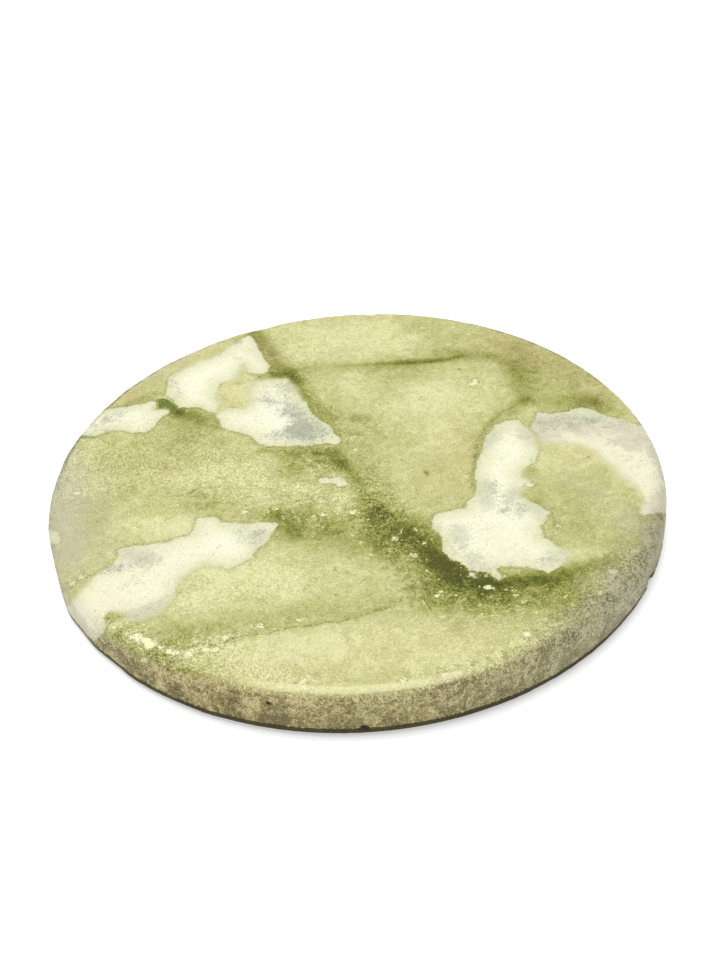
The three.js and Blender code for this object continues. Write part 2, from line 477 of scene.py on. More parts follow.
# where the white fades out softly instead of ending at a crisp edge
keep("soft", painted([
    ([(-9.3, 17.0), (-9.9, 13.8), (-11.2, 11.5), (-11.0, 9.4)], [0.9, 1.3, 1.3, 1.0], [1, 1, 1, 0.7]),
    ([(-15.5, 16.2), (-12.5, 18.2), (-10.6, 20.2)], [1.0, 1.0, 1.0], [0.7, 0.7, 0.7]),
    ([(14.9, 2.0), (17.5, 0.8), (19.8, -1.0), (21.5, -4.5), (21.8, -7.5)], [1.8, 2.4, 2.2, 1.8, 1.2],
     [0.6, 1.7, 1.6, 1.2, 0.6]),
    ([(-14.5, -14.3), (-15.5, -16.0), (-17.5, -15.5)], [1.4, 1.4, 1.4], [1, 1, 1]),
    ([(-11.5, -10.9), (-13.5, -12.5)], [1.2, 1.2], [0.6, 0.6]),
    ([(-20.5, -12.0), (-21.5, -14.0)], [1.2, 1.2], [0.8, 0.8]),
    ([(-4.0, -3.7), (-3.0, -4.2)], [1.2, 1.0], [1, 1]),
    ([(15.6, -12.0), (15.4, -13.2)], [1.2, 1.2], [1.2, 1.0]),
    ([(13.4, -2.5), (13.2, -5.0)], [1.2, 1.2], [0.8, 0.8]),
    ([(-7.0, 13.5), (-4.9, 12.6), (-3.8, 10.0)], [1.0, 1.0, 1.0], [0.7, 0.7, 0.5]),
    ([(-10.3, 7.4), (-8.8, 9.6), (-8.6, 13.0)], [1.0, 1.4, 1.4], [0.3, 1.0, 1.3]),
    ([(-24.5, 7.0), (-22.0, 10.5)], [1.2, 1.2], [0.6, 0.6]),
]))

# how deep the green is: clouds first, then bands, then the fine dark seams
deep = 0.22 + painted([
    ([(-10.6, 13.2), (-9.4, 11.2), (-9.0, 14.6)], [1.8, 1.8, 1.2], [-0.12, -0.16, -0.1]),
    ([(16.0, -12.3), (17.6, -12.4)], [1.1, 1.0], [-0.14, -0.06]),
    ([(-2.5, 19.5), (3.0, 20.0)], [5.6, 5.0], [-0.17, -0.17]),
    ([(2.5, 17.5), (6.0, 18.3)], [2.2, 2.2], [-0.1, -0.1]),
    ([(6.5, 21.0), (5.0, 19.3), (3.2, 18.0)], [1.6, 1.2, 0.8], [0.14, 0.1, 0.06]),
    ([(4.0, 7.5), (6.5, 9.5), (10.0, 8.5)], [3.2, 4.0, 3.6], [-0.13, -0.13, -0.14]),
    ([(6.5, 8.5), (7.5, 3.0)], [4.0, 4.0], [-0.08, -0.1]),
    ([(0.2, 13.0), (0.0, 10.5), (1.8, 9.0)], [1.6, 2.0, 2.4], [-0.1, -0.14, -0.06]),
    ([(14.0, 17.0), (18.5, 12.0), (21.5, 7.5)], [5.5, 6.0, 4.5], [0.14, 0.2, 0.2]),
    ([(15.2, 15.5), (15.6, 11.0), (16.5, 7.2), (20.5, 6.4)], [2.6, 3.4, 2.4, 2.4], [0.12, 0.2, 0.2, 0.2]),
    ([(-19.0, 3.5), (-14.5, 3.5)], [3.5, 3.5], [0.1, 0.12]),
    ([(-12.5, 0.8), (-9.5, 0.5), (-6.0, -2.5)], [2.6, 3.2, 2.6], [-0.08, -0.12, -0.1]),
    ([(-18.5, -1.5), (-16.0, 0.5)], [2.6, 2.0], [0.08, 0.06]),
    ([(-15.0, 0.3), (-13.0, -0.6)], [1.6, 1.4], [-0.14, -0.08]),
    ([(-21.0, -2.5), (-20.5, -6.0), (-21.5, -9.0)], [2.6, 2.2, 2.0], [0.16, 0.12, 0.06]),
    ([(-12.5, -3.2), (-10.0, -4.2)], [2.2, 1.8], [0.2, 0.18]),
    ([(-18.5, -5.6), (-14.0, -5.9)], [2.2, 2.2], [-0.12, -0.24]),
    ([(-5.5, -13.0), (-9.5, -12.0), (-12.0, -14.5)], [3.4, 3.6, 3.2], [-0.18, -0.2, -0.2]),
    ([(-11.5, -11.2), (-8.5, -11.0)], [1.4, 1.4], [-0.12, -0.1]),
    ([(0.5, -13.5), (2.5, -14.0)], [3.0, 2.6], [-0.06, -0.04]),
    ([(-9.0, -20.8), (-3.0, -20.4), (4.0, -20.2), (7.0, -21.6)], [3.4, 4.2, 4.0, 3.0],
     [-0.16, -0.21, -0.16, -0.12]),
    ([(-13.5, -17.8), (-9.0, -17.2), (-3.0, -16.6), (1.5, -16.0)], [2.0, 1.8, 1.8, 1.4],
     [0.2, 0.17, 0.14, 0.06]),
    ([(-9.5, -18.6), (-5.2, -17.9), (-1.5, -17.5), (2.0, -16.4)], [0.7, 0.7, 0.7, 0.6],
     [0.1, 0.14, 0.12, 0.1]),
    ([(17.0, -4.5), (17.0, -9.0)], [3.0, 4.0], [0.05, 0.12]),
    ([(15.4, -1.5), (17.0, -2.0)], [2.4, 2.6], [-0.1, -0.08]),
    ([(17.0, 0.8), (18.5, -1.0)], [2.6, 2.4], [-0.12, -0.12]),
    ([(7.5, -2.5), (4.5, -1.5)], [3.6, 3.0], [0.0, -0.02]),
    ([(0.5, 3.5), (0.8, -1.0), (1.5, -5.0)], [3.0, 3.0, 3.0], [0.14, 0.2, 0.22]),
    ([(-4.5, 1.0), (-6.0, -2.0), (-3.5, -7.5)], [3.6, 2.4, 3.8], [0.28, 0.1, 0.28]),
    ([(-0.5, -8.5), (2.0, -8.8), (4.0, -11.5), (6.5, -15.0)], [3.8, 4.4, 4.2, 4.2], [0.3, 0.5, 0.3, 0.28]),
    ([(5.5, -16.0), (9.0, -16.8), (14.0, -16.3)], [3.2, 3.2, 3.6], [0.24, 0.34, 0.42]),
    ([(15.5, -19.0), (19.5, -14.5), (22.5, -9.0)], [4.0, 4.4, 3.0], [0.26, 0.28, 0.24]),
    ([(-22.5, 1.5), (-21.5, 0.0)], [1.6, 1.6], [-0.08, -0.06]),
    ([(-19.0, -18.5), (-14.5, -21.5), (-9.5, -24.5)], [2.4, 3.0, 2.6], [0.34, 0.42, 0.42]),
    # the fault, from the far rim down to its dark core
    ([(-8.4, 21.6), (-7.2, 18.9), (-6.4, 16.4), (-5.7, 14.6), (-4.5, 13.4)], [1.5, 1.7, 1.6, 1.9, 1.5],
     [0.4, 0.42, 0.38, 0.44, 0.3]),
    ([(-4.6, 13.3), (-3.8, 11.0), (-3.1, 9.0), (-2.0, 7.0), (-0.9, 5.0)], [1.3, 1.4, 1.7, 1.9, 1.3],
     [0.32, 0.32, 0.32, 0.28, 0.14]),
    ([(-7.6, 3.3), (-5.5, 2.6), (-3.4, 2.6), (-1.8, 1.9), (-1.4, 0.4)], [0.8, 1.3, 1.8, 1.9, 1.5],
     [0.26, 0.26, 0.24, 0.5, 0.46]),
    ([(-0.8, 0.8), (0.0, -1.6), (0.6, -3.6), (1.7, -5.8)], [0.8, 0.9, 1.2, 1.8], [0.3, 0.34, 0.24, 0.24]),
    ([(2.2, -6.8), (4.2, -8.5), (5.4, -10.4), (6.3, -12.4), (7.8, -14.2), (9.6, -15.6)],
     [2.4, 2.6, 2.6, 2.7, 2.6, 2.0], [0.26, 0.36, 0.5, 0.62, 0.56, 0.32]),
    ([(9.0, -14.8), (11.5, -14.8), (13.8, -14.9), (16.0, -14.0), (18.4, -13.5)],
     [1.5, 1.3, 1.5, 1.3, 1.2], [0.4, 0.46, 0.42, 0.36, 0.26]),
    # bands and shadows
    ([(-4.5, 15.0), (-1.5, 15.1), (2.0, 14.6), (5.5, 14.6)], [1.4, 1.2, 1.6, 1.5],
     [0.2, 0.14, 0.2, 0.24]),
    ([(5.5, 14.8), (8.0, 14.9), (10.5, 15.0), (13.0, 14.9)], [1.3, 1.4, 1.4, 1.2],
     [0.14, 0.2, 0.2, 0.2]),
    ([(-1.0, 15.0), (3.0, 14.9), (6.0, 14.7), (8.5, 14.75), (10.5, 15.1)], [0.5, 0.5, 0.6, 0.6, 0.5],
     [0.12, 0.24, 0.34, 0.4, 0.22]),
    ([(2.5, 13.2), (5.0, 12.8), (6.5, 13.4)], [1.8, 1.8, 1.4], [0.08, 0.16, 0.16]),
    ([(8.5, 16.4), (10.5, 15.9)], [1.6, 1.4], [0.2, 0.2]),
    ([(13.0, 14.8), (14.3, 13.3), (15.0, 11.0), (14.7, 9.2), (15.2, 7.8)], [1.2, 1.4, 1.6, 1.5, 1.3],
     [0.14, 0.18, 0.16, 0.16, 0.3]),
    ([(14.8, 7.4), (13.0, 6.0), (11.4, 4.4), (10.6, 3.0), (10.1, 1.2), (9.7, -1.5), (9.2, -3.8)],
     [1.4, 1.3, 0.9, 0.8, 0.7, 0.7, 0.7], [0.24, 0.22, 0.22, 0.22, 0.18, 0.14, 0.1]),
    ([(20.1, 7.0), (21.0, 6.3), (22.8, 4.6)], [1.6, 1.4, 1.0], [0.2, 0.2, 0.2]),
    ([(-14.9, 9.8), (-13.6, 8.9), (-12.4, 7.9), (-11.6, 7.0)], [1.5, 1.9, 1.9, 1.4],
     [0.36, 0.42, 0.4, 0.26]),
    ([(-15.6, 8.2), (-14.0, 6.4), (-11.0, 4.8)], [1.6, 2.0, 1.6], [0.16, 0.18, 0.14]),
    ([(-16.4, 11.0), (-15.6, 10.6)], [1.1, 1.2], [0.25, 0.25]),
    ([(-15.4, 10.3), (-14.8, 9.4)], [0.6, 0.8], [0.3, 0.35]),
    ([(-19.4, 11.4), (-18.2, 12.0), (-17.0, 12.6)], [0.8, 0.9, 0.8], [0.22, 0.28, 0.2]),
    ([(-19.0, 13.0), (-16.5, 14.5)], [1.8, 1.8], [0.1, 0.1]),
    ([(-7.6, 14.1), (-6.4, 14.2), (-5.0, 14.4)], [0.5, 0.8, 0.9], [0.2, 0.3, 0.2]),
    ([(-22.7, 7.0), (-21.9, 6.8)], [0.6, 0.5], [0.5, 0.3]),
    ([(0.3, 6.8), (1.2, 6.6)], [1.0, 0.8], [0.24, 0.2]),
    ([(2.2, 4.8), (2.8, 3.8)], [0.7, 0.6], [0.16, 0.12]),
    ([(-8.0, -5.0), (-6.4, -5.3), (-5.2, -6.2), (-5.0, -7.6)], [1.3, 1.5, 1.7, 1.6],
     [0.24, 0.36, 0.36, 0.26]),
    ([(-6.3, -6.8), (-6.5, -8.0)], [0.6, 0.6], [0.24, 0.2]),
    ([(-18.6, -17.2), (-17.4, -17.2)], [1.2, 1.2], [0.2, 0.2]),
    ([(-18.2, -15.6), (-17.4, -15.4)], [1.0, 0.9], [0.3, 0.24]),
    ([(-14.5, -19.3), (-13.0, -18.8)], [1.3, 1.3], [0.16, 0.2]),
    ([(13.2, -2.5), (14.2, -2.2)], [1.0, 1.0], [0.24, 0.2]),
    ([(14.2, -5.6), (14.0, -6.3)], [0.9, 0.8], [0.12, 0.14]),
    ([(16.7, -17.0), (15.2, -18.4), (13.6, -19.2)], [0.9, 0.9, 0.8], [0.16, 0.18, 0.14]),
    ([(6.7, -18.6), (6.2, -19.6)], [0.7, 0.7], [0.14, 0.12]),
    ([(5.7, -1.3), (5.9, -1.6)], [0.35, 0.35], [0.5, 0.5]),
    ([(15.9, 12.0), (16.3, 11.8)], [0.4, 0.4], [0.2, 0.2]),
    ([(19.4, 9.5), (19.9, 9.4)], [0.6, 0.5], [0.14, 0.12]),
])
keep("deep", deep)

# where the green is warm with ochre, and where it is fresher
keep("ochre", painted([
    ([(-7.6, 20.0), (-6.2, 16.8)], [1.6, 1.6], [1, 0.9]),
    ([(14.0, 17.5), (19.0, 12.5), (22.5, 6.0)], [5.0, 5.0, 3.5], [0.8, 0.9, 0.6]),
    ([(-19.5, 13.0), (-16.0, 16.0), (-12.5, 19.3)], [2.6, 2.4, 1.8], [1, 0.9, 0.5]),
    ([(-9.6, 17.0), (-10.2, 13.5), (-10.7, 10.0)], [1.3, 1.6, 1.6], [0.5, 0.5, 0.5]),
    ([(8.0, 5.0), (8.0, 1.0), (6.0, -3.5)], [3.5, 4.0, 4.0], [0.5, 0.6, 0.5]),
    ([(17.0, 1.0), (19.0, -0.5)], [3.0, 3.0], [0.6, 0.6]),
    ([(-8.0, -21.5), (0.0, -22.0), (8.0, -21.5)], [4.0, 4.0, 4.0], [0.5, 0.6, 0.5]),
    ([(-14.0, -22.5), (-8.0, -25.0)], [3.0, 3.0], [0.9, 0.9]),
    ([(-20.0, -3.0), (-21.0, -7.0)], [3.0, 3.0], [0.5, 0.5]),
    ([(-1.0, 23.5), (5.0, 23.0)], [2.5, 2.5], [0.8, 0.8]),
    ([(-16.5, 2.5), (-13.5, 0.0)], [3.5, 3.5], [0.3, 0.3]),
]).clip(0, 1))

# panes of glassy quartz in the white, each with an edge of its own
keep_inside("panes", [
    [
        (7.4, -7.8), (8.1, -7.9), (8.5, -8.1), (8.5, -9.3), (8.5, -10.3), (7.8, -11.1),
        (7.2, -10.8), (6.7, -9.8), (6.9, -8.4),
    ],
    [
        (9.7, -3.1), (10.6, -2.9), (11.2, -4.0), (10.9, -5.5), (10.6, -6.6), (9.9, -6.6),
        (9.5, -5.6), (9.4, -4.3),
    ],
    [(11.9, -3.8), (13.1, -4.4), (13.2, -4.7), (12.3, -6.1), (11.5, -7.0), (11.5, -5.5)],
    [
        (11.6, -7.4), (12.5, -6.4), (13.5, -6.0), (14.1, -6.7), (14.7, -7.3),
        (14.0, -7.7), (13.5, -7.7), (13.2, -7.2), (12.3, -7.7),
    ],
    [(7.4, -11.5), (8.4, -11.1), (9.2, -12.0), (9.2, -13.4), (8.4, -13.4), (7.9, -12.7)],
    [(13.2, -12.7), (13.9, -12.0), (14.9, -11.7), (15.5, -12.3), (14.5, -13.4), (13.4, -13.3)],
    [(11.1, 2.9), (11.9, 3.7), (13.2, 3.9), (12.2, 2.1), (11.2, 1.5), (10.5, 0.3)],
    [
        (15.2, 5.2), (18.2, 5.2), (19.6, 5.6), (20.6, 5.2), (21.4, 4.0), (21.0, 3.2),
        (19.2, 3.1), (17.8, 3.1), (16.6, 3.8), (15.4, 2.7), (14.9, 3.6),
    ],
    [
        (-5.7, 8.6), (-3.8, 8.7), (-2.9, 6.3), (-2.4, 5.2), (-2.6, 3.8), (-4.1, 4.2),
        (-5.3, 4.6), (-5.7, 5.9), (-4.8, 6.7), (-5.3, 7.7),
    ],
    [(-7.6, 11.4), (-6.6, 11.1), (-6.3, 10.2), (-7.1, 9.9)],
    [(-6.5, 13.2), (-4.8, 12.5), (-4.5, 11.3), (-6.0, 11.5)],
    [(-10.0, -6.8), (-8.7, -7.1), (-6.9, -7.1), (-6.5, -7.9), (-7.8, -8.8), (-9.3, -8.2)],
    [
        (-18.2, -8.2), (-16.1, -8.2), (-15.0, -9.3), (-16.0, -10.5), (-17.0, -10.7),
        (-17.8, -9.4),
    ],
    [(-19.4, -10.1), (-17.8, -9.7), (-17.8, -10.6), (-18.9, -10.9)],
    [(-16.9, -15.1), (-14.8, -15.0), (-14.6, -15.3), (-15.4, -16.2), (-16.9, -16.0)],
])

# where that quartz is greyest
keep("glassy", painted([
    ([(-7.3, 12.8), (-7.0, 10.5), (-6.0, 8.6)], [1.8, 1.8, 1.8], [0.4, 0.45, 0.4]),
    ([(-5.6, 12.4), (-5.2, 10.0), (-4.6, 8.0), (-4.0, 6.2), (-2.6, 5.0)], [1.3, 1.5, 2.1, 2.6, 1.9],
     [0.5, 0.55, 0.85, 1.3, 0.9]),
    ([(-6.6, 5.4), (-4.0, 4.2)], [1.8, 1.6], [0.5, 0.55]),
    ([(15.6, 4.3), (18.0, 4.3), (20.6, 4.0), (22.6, 3.0)], [1.8, 1.8, 1.8, 1.4], [0.4, 0.6, 0.5, 0.3]),
    ([(-19.3, -10.4), (-16.8, -10.1), (-15.6, -9.8)], [0.9, 0.9, 0.6], [0.6, 0.5, 0.3]),
    ([(10.4, -3.2), (10.8, -5.2), (11.9, -7.0)], [1.1, 1.2, 1.1], [0.3, 0.3, 0.4]),
    ([(12.4, -2.0), (13.0, -5.0), (12.6, -6.4)], [1.1, 1.4, 1.1], [0.2, 0.4, 0.4]),
    ([(10.7, -7.0), (11.5, -6.8)], [0.7, 0.5], [0.8, 0.8]),
    ([(7.0, -11.2), (6.8, -10.8)], [0.6, 0.5], [0.6, 0.5]),
    ([(12.2, -12.8), (13.6, -12.6), (15.2, -12.6)], [0.7, 0.8, 0.8], [0.3, 0.3, 0.3]),
    ([(-9.0, -6.6), (-7.6, -7.3), (-8.2, -8.4)], [1.1, 1.3, 1.1], [0.3, 0.4, 0.3]),
    ([(-15.0, 12.2), (-13.0, 12.4)], [0.8, 0.8], [0.35, 0.2]),
    ([(-9.3, 18.8), (-9.0, 18.2)], [0.8, 0.8], [0.5, 0.4]),
    ([(-10.4, 20.7), (-9.8, 20.2)], [0.9, 0.7], [1.3, 0.6]),
    ([(-21.6, 10.2), (-21.4, 8.2)], [2.6, 2.4], [0.4, 0.4]),
    ([(-19.0, 9.0), (-16.8, 9.0)], [1.6, 1.2], [0.3, 0.2]),
    ([(-15.6, 14.6), (-15.2, 12.2)], [1.2, 1.2], [0.3, 0.4]),
    ([(-10.2, 19.6), (-9.6, 17.6)], [1.4, 1.2], [0.4, 0.4]),
]))

# where the white thins to a beige milk, and the pale flecks left in it
keep("milky", painted([
    ([(15.0, 3.0), (18.0, 3.6), (22.0, 2.6), (24.2, 0.0)], [3.2, 3.2, 3.2, 2.4], [0.9, 0.8, 0.9, 1.0]),
    ([(24.8, -1.0), (24.6, -5.0), (23.2, -8.0)], [1.6, 1.8, 2.2], [0.9, 0.8, 1.0]),
    ([(21.6, 0.8), (22.4, 0.0)], [1.3, 1.3], [0.6, 0.6]),
    ([(-22.8, 9.0), (-20.2, 9.6)], [2.4, 1.8], [0.5, 0.4]),
    ([(-17.5, -8.8), (-15.6, -9.6)], [1.6, 1.4], [0.7, 0.6]),
    ([(-16.2, -15.4), (-14.6, -14.2)], [1.6, 1.3], [0.9, 0.6]),
    ([(-21.5, -14.5), (-20.5, -17.0)], [1.8, 1.8], [0.5, 0.6]),
    ([(-9.2, 15.6), (-10.4, 13.2), (-10.6, 10.4)], [1.1, 1.2, 1.2], [0.4, 0.5, 0.5]),
]).clip(0, 1))

# where the white turns from cream to a faint pink
keep("rosy", painted([
    ([(-19.0, -14.0), (-16.0, -11.0), (-13.5, -8.8)], [4.0, 3.5, 3.0], [1, 1, 0.6]),
    ([(18.0, 2.5), (22.0, 0.0), (23.0, -6.0)], [3.5, 3.5, 3.5], [1, 1, 1]),
    ([(10.0, -9.5), (11.5, -11.8)], [2.6, 2.2], [0.7, 0.8]),
]).clip(0, 1))

# crushed jade is full of pale crumbs and dark specks
keep("crushed", painted([
    ([(0.5, -2.0), (1.5, -6.0), (3.0, -10.0)], [2.6, 3.0, 3.4], [0.6, 0.9, 1]),
    ([(-3.0, 2.5), (-3.0, -1.0), (-5.0, -5.0), (-2.5, -6.5)], [2.6, 3.0, 3.0, 3.2], [0.8, 0.7, 0.8, 0.8]),
    ([(4.0, -15.0), (9.0, -16.5), (14.0, -16.0)], [3.4, 3.0, 3.0], [0.8, 1, 0.7]),
    ([(-18.5, -16.5), (-14.0, -19.5), (-9.0, -18.5)], [2.2, 2.6, 2.2], [0.9, 1, 0.7]),
    ([(4.0, -24.0), (12.0, -21.5), (19.0, -14.0)], [1.6, 2.6, 2.6], [0.8, 0.7, 0.7]),
    ([(7.5, -13.5), (10.0, -13.8)], [1.4, 1.4], [1, 1]),
    ([(0.5, 4.5), (2.5, 6.0)], [2.4, 2.0], [0.5, 0.4]),
    ([(-10.0, -2.5), (-13.0, -2.0)], [2.6, 2.6], [0.4, 0.4]),
]).clip(0, 1))

# how gritty the stone looks from close by: much in the left half, little in the far right
keep("gritty", (0.42 + painted([
    ([(-24.0, 3.0), (-14.0, 2.0), (-4.0, -2.0)], [8.0, 9.0, 7.0], [0.7, 0.6, 0.5]),
    ([(1.0, -2.0), (3.0, -9.0), (9.0, -17.0)], [4.0, 4.5, 4.0], [0.5, 0.8, 0.6]),
    ([(-19.0, -18.0), (-12.0, -21.0), (0.0, -25.5), (12.0, -22.5), (21.0, -14.0)],
     [4.0, 3.6, 1.6, 2.6, 3.5], [0.9, 0.8, 0.3, 0.5, 0.8]),
    ([(-12.0, -14.0), (-4.0, -12.0)], [4.0, 4.0], [0.3, 0.25]),
    ([(-5.5, 17.0), (-3.5, 11.0), (-1.0, 5.0)], [3.0, 3.0, 3.0], [0.3, 0.4, 0.4]),
    ([(14.0, -4.0), (20.0, -2.0)], [5.0, 6.0], [-0.15, -0.2]),
])).clip(0.1, 1.35))

# a pale haze near the rim: fine scratches on the worn parts, and a painted sheen where the face rolls away
keep("haze_and_sheen", painted([
    ([(-23.2, 6.5), (-24.4, 0.0), (-23.8, -5.0), (-22.6, -10.0)], [2.4, 3.4, 3.2, 3.0],
     [0.4, 0.75, 0.7, 0.6]),
    ([(-21.5, 1.0), (-21.0, -4.0), (-20.5, -8.0)], [5.0, 5.0, 4.0], [0.35, 0.45, 0.4]),
    ([(-19.5, 14.5), (-14.5, 19.0), (-10.8, 21.8)], [2.4, 2.4, 1.4], [0.4, 0.45, 0.3]),
    ([(17.5, -3.0), (19.5, -8.0), (21.0, -10.0)], [3.4, 3.4, 3.0], [0.25, 0.35, 0.6]),
    ([(24.5, 5.0), (25.0, -1.0), (24.5, -6.0)], [1.4, 1.8, 1.8], [0.4, 0.6, 0.6]),
    ([(-2.0, 24.2), (6.0, 23.6), (14.0, 19.5)], [1.0, 1.0, 1.0], [0.5, 0.5, 0.3]),
]).clip(0, 1))

# where the worn skin of the side reaches up over the shoulder on to the face, with painted shade where the
# shoulder rolls away
keep("skin_and_shade_above", painted([
    ([(5.0, -25.6), (9.0, -24.6), (13.0, -22.6), (17.0, -19.2), (20.4, -14.8), (23.0, -10.0)],
     [1.8, 2.8, 4.4, 5.4, 5.0, 3.4], [0.4, 0.7, 0.95, 1.0, 0.95, 0.8]),
    ([(-6.0, -26.0), (-10.0, -24.8), (-14.0, -22.6), (-18.0, -19.4)], [1.6, 2.8, 3.0, 2.4],
     [0.4, 0.8, 0.85, 0.7]),
    ([(-20.6, -11.0), (-21.8, -12.0)], [1.4, 1.4], [0.5, 0.6]),
]).clip(0, 1))

# fine dark seams: how far across the nearest one a point lies, and how strong it is there
seams = [
    ([(5, 15.0), (7, 14.8), (10, 15.0)], 0.5),
    ([(14.6, 7.3), (13, 6.3), (12, 5.1), (11.2, 4.1), (10.5, 2.8), (10.1, 1.4), (9.8, 0)], 0.8),
    (
        [
            (-12.5, -19), (-11.0, -19.1), (-9.7, -18.8), (-8.5, -18.4), (-6.8, -18.3),
            (-5.2, -18.0), (-3.5, -17.8), (-1.5, -17.6), (0, -17.1), (2, -16.5),
        ],
        1.0,
    ),
    ([(16.7, -17.0), (15.4, -18.1), (13.4, -19.2)], 0.7),
    ([(-16.9, 11.6), (-18.4, 11.2), (-20.2, 11.0)], 0.6),
    ([(-4.4, 13.0), (-3.7, 11.0), (-3.0, 9.3), (-2.3, 7.8)], 0.7),
]
across = np.full(len(drawn), 5.0)
seam = np.zeros(len(drawn))
for line, strength in seams:
    distance, along, side = to_line(line, closed=False)
    closer = distance < np.abs(across)
    across = np.where(closer, distance * side, across)
    fade = np.clip(1.5 - distance, 0, 1) * strength
    seam = np.where(closer, fade, seam)
keep("across_seam", across)
keep("seam", seam)

# The worn rim: brown or grey skin under the shoulder, darkened with painted shade and darker towards
# the base; painted shade at the foot and along the far rim; pale wear with a painted highlight along the
# edge of the face at the front. It follows a point's direction from the middle, and how far in from the
# rim, how deep under the face and how high above the base it lies, in millimetres.
def ease(values, low, high):
    """Rises smoothly from 0 where the values are low to 1 where they are high."""
    share = np.clip((values - low) / (high - low), 0, 1)
    return share * share * (3 - 2 * share)


direction = np.arctan2(points_mm[:, 1], points_mm[:, 0])
from_middle = np.hypot(points_mm[:, 0], points_mm[:, 1])
above_base = points_mm[:, 2]
near_rim = ease(from_middle, 23.2, 24.4)
degree = np.round(np.degrees(direction)).astype(int) % 360
rim_there = np.zeros(360)
np.maximum.at(rim_there, degree, from_middle)
inward = rim_there[degree] - from_middle
in_front = share_of(-95, 95, direction)
green_top = share_of(-138, 26, direction)
# the side's worn skin, brown or grey, its colour darkened with painted shade where the side faces away
# from the overhead lamp
skin_and_shade_depth = ease(depth_mm, 0.7 * green_top, 0.5 + 1.5 * green_top) * near_rim
keep("skin_and_shade", skin_and_shade_depth * (0.75 + 0.45 * in_front).clip(0, 1))
keep("greyer", (share_of(-15, 85, direction) * 1.3 + share_of(180, 50, direction)).clip(0, 1))
# painted shade at the foot: the eased lower edge darkened, most at the front
keep("foot_shade", (1 - ease(above_base, 0.7, 1.0)) * near_rim * (0.6 + 0.6 * in_front).clip(0, 1))
# painted shade: a thin dark line along the far rim's outline, where the rolled shoulder turns away
far_edge_shade = (1 - ease(inward, 0.62, 0.95)) * (1 - ease(depth_mm, 0.3, 1.9))
keep("far_edge_shade", far_edge_shade * (share_of(105, 108, direction) * 2.5).clip(0, 1))
keep("lower", (1 - above_base / 3.2).clip(0, 1))
# pale wear with a painted highlight along the near shoulder, where the overhead lamp glints
wear_and_highlight = (1 - ease(inward, 0.9, 1.3)) * ease(inward, 0.32, 0.5)
keep("wear_and_highlight", wear_and_highlight * (share_of(-92, 32, direction) * 1.3).clip(0, 1))

# painted shade in the two deepest pits: direction in degrees, height and half width
pit_shade = np.zeros(len(drawn))
for at, pit_height, half_width in [(-91.5, 0.85, 0.34), (-106.5, 2.8, 0.3)]:
    aside = (direction - math.radians(at)) * radius / mm
    nearness = 1 - np.hypot(aside, above_base - pit_height) / half_width
    pit_shade = np.maximum(pit_shade, nearness * near_rim)
keep("pit_shade", pit_shade)

# Jade with a satin polish. Its colours are written as they look on the face, lit is how strongly
# the room and the lamp light them there, and sheen is the white that the polish mirrors.
jade = bpy.data.materials.new("jade")
jade.use_nodes = True
wires = jade.node_tree.links
shader = jade.node_tree.nodes["Principled BSDF"]
lit = 1.24
sheen = 0.0145


def srgb(red, green, blue):
    """A colour as it looks on the face under this light, 0 to 255, as the shader's own numbers."""
    seen = [((c / 255 + 0.055) / 1.055) ** 2.4 for c in (red, green, blue)]
    return tuple(max(c - sheen, 0.004) / lit for c in seen) + (1,)


def set_socket(socket, value):
    """Wires another node's output to a socket, or sets the socket to a plain value."""
    if isinstance(value, bpy.types.NodeSocket):
        wires.new(value, socket)
    else:
        socket.default_value = value


def reading(name):
    """The number that the stone keeps under that name."""
    source = jade.node_tree.nodes.new("ShaderNodeAttribute")
    source.attribute_name = name
    return source.outputs["Fac"]


def sums(operation, first, second=0.0, third=0.0, clamp=False):
    """One step of reckoning with plain values, inside the material."""
    made = jade.node_tree.nodes.new("ShaderNodeMath")
    made.operation = operation
    made.use_clamp = clamp
    set_socket(made.inputs[0], first)
    set_socket(made.inputs[1], second)
    set_socket(made.inputs[2], third)
    return made.outputs[0]


def plus(total, value, share):
    return sums("MULTIPLY_ADD", value, share, total)


def times(first, second):
    return sums("MULTIPLY", first, second)


def between(value, low, high):
    """Rises smoothly from 0 where value is low to 1 where it is high."""
    made = jade.node_tree.nodes.new("ShaderNodeMapRange")
    made.interpolation_type = "SMOOTHSTEP"
    set_socket(made.inputs["Value"], value)
    set_socket(made.inputs["From Min"], low)
    set_socket(made.inputs["From Max"], high)
    return made.outputs[0]


def blend(share, first, second):
    """Goes from the first colour to the second as share goes from 0 to 1."""
    made = jade.node_tree.nodes.new("ShaderNodeMix")
    made.data_type = "RGBA"
    set_socket(made.inputs[0], share)
    set_socket(made.inputs[6], first)
    set_socket(made.inputs[7], second)
    return made.outputs[2]


def scaled(colour, factor):
    made = jade.node_tree.nodes.new("ShaderNodeVectorMath")
    made.operation = "SCALE"
    wires.new(colour, made.inputs[0])
    wires.new(factor, made.inputs["Scale"])
    return made.outputs[0]


def ramp(value, stops):
    made = jade.node_tree.nodes.new("ShaderNodeValToRGB")
    set_socket(made.inputs[0], value)
    stops_made = made.color_ramp.elements
    while len(stops_made) < len(stops):
        stops_made.new(0.5)
    for stop, (place, colour) in zip(stops_made, stops):
        stop.position = place
        stop.color = colour
    return made.outputs[0]


in_stone = jade.node_tree.nodes.new("ShaderNodeTexCoord")
in_mm = jade.node_tree.nodes.new("ShaderNodeMapping")
in_mm.inputs["Scale"].default_value = (1000, 1000, 1000)
wires.new(in_stone.outputs["Object"], in_mm.inputs["Vector"])


def cloud(size, detail, roughness, distortion=0.0):
    """Fractal noise whose lumps are about that many millimetres across, about 0 in the middle."""
    made = jade.node_tree.nodes.new("ShaderNodeTexNoise")
    wires.new(in_mm.outputs[0], made.inputs["Vector"])
    made.inputs["Scale"].default_value = 1 / size
    made.inputs["Detail"].default_value = detail
    made.inputs["Roughness"].default_value = roughness
    made.inputs["Distortion"].default_value = distortion
    return sums("SUBTRACT", made.outputs["Fac"], 0.5)


